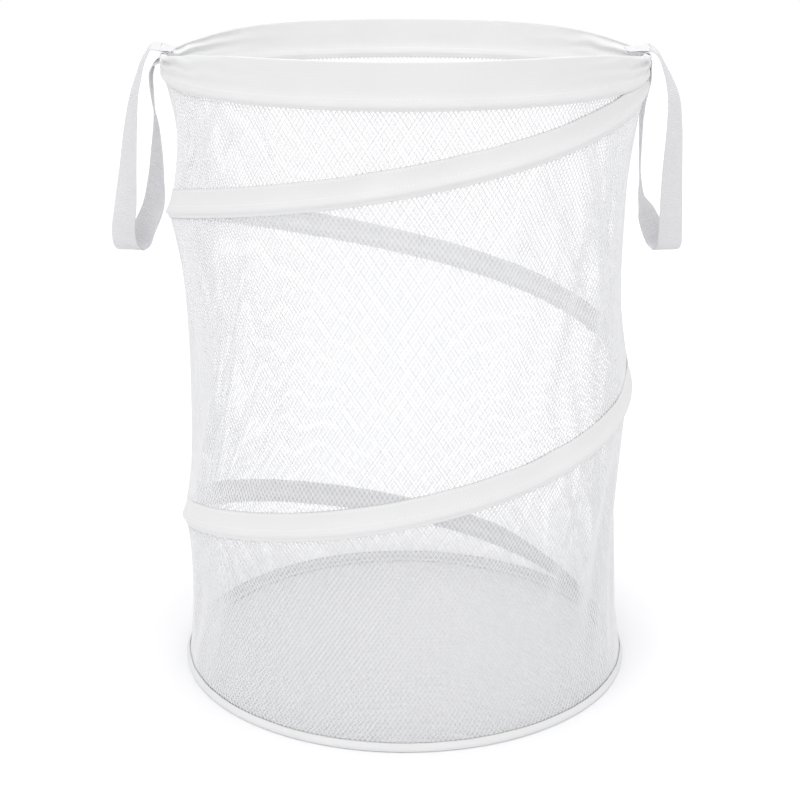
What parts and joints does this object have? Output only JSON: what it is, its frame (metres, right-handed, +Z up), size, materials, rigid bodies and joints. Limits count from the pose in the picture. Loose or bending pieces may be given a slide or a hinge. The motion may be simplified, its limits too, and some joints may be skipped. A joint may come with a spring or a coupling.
{
  "type": "pop up laundry hamper",
  "caption": "Tall round laundry hamper of white net, held open by a coiled spring wire in a fabric channel, with a banded mouth, a net floor and a webbing loop on each side.",
  "frame": {"origin": "middle of the underside, on a crossing of the floor net's strands, level with the floor", "axes": "+Z up along the middle of the tube, X through the two webbing loops, front towards -Y"},
  "size_m": [0.5624, 0.457, 0.635],
  "materials": {
    "net": "open knitted polyester net",
    "taffeta": "plain woven polyester taffeta, slight sheen",
    "webbing": "ribbed polyester webbing",
    "spring_steel": "drawn wire",
    "zinc_steel": "zinc plated",
    "vinyl": "dipped vinyl"
  },
  "bodies": {
    "base": {"base_net": "net", "bottom_binding": "taffeta", "bottom_hoop_wire": "spring_steel", "bottom_hoop_ferrule": "zinc_steel", "spiral_end_cap_bottom": "vinyl", "wall_net": "net", "side_seam": "net", "spiral_spring_wire": "spring_steel", "spiral_sleeve": "taffeta"},
    "mouth": {"top_band": "taffeta", "top_hoop_wire": "spring_steel", "top_hoop_ferrule": "zinc_steel", "spiral_end_cap_top": "vinyl", "handle_anchor_right": "webbing", "handle_anchor_left": "webbing"},
    "loop_right": {"handle_strap_right": "webbing"},
    "loop_left": {"handle_strap_left": "webbing"}
  },
  "joints": [
    {"name": "collapse", "type": "slide", "parent": "base", "child": "mouth", "axis": [0, 0, -1], "range_m": [0, 0.56], "stiffness_N_per_m": 25, "springref_m": -0.2, "deforming": ["wall_net", "side_seam", "spiral_spring_wire", "spiral_sleeve"]},
    {"name": "loop_right_swing", "type": "hinge", "parent": "mouth", "child": "loop_right", "pos_m": [0.2359, 0, 0.62585], "axis": [0, -1, 0], "range_deg": [0, 170]},
    {"name": "loop_left_swing", "type": "hinge", "parent": "mouth", "child": "loop_left", "pos_m": [-0.2359, 0, 0.62585], "axis": [0, 1, 0], "range_deg": [0, 170]}
  ]
}
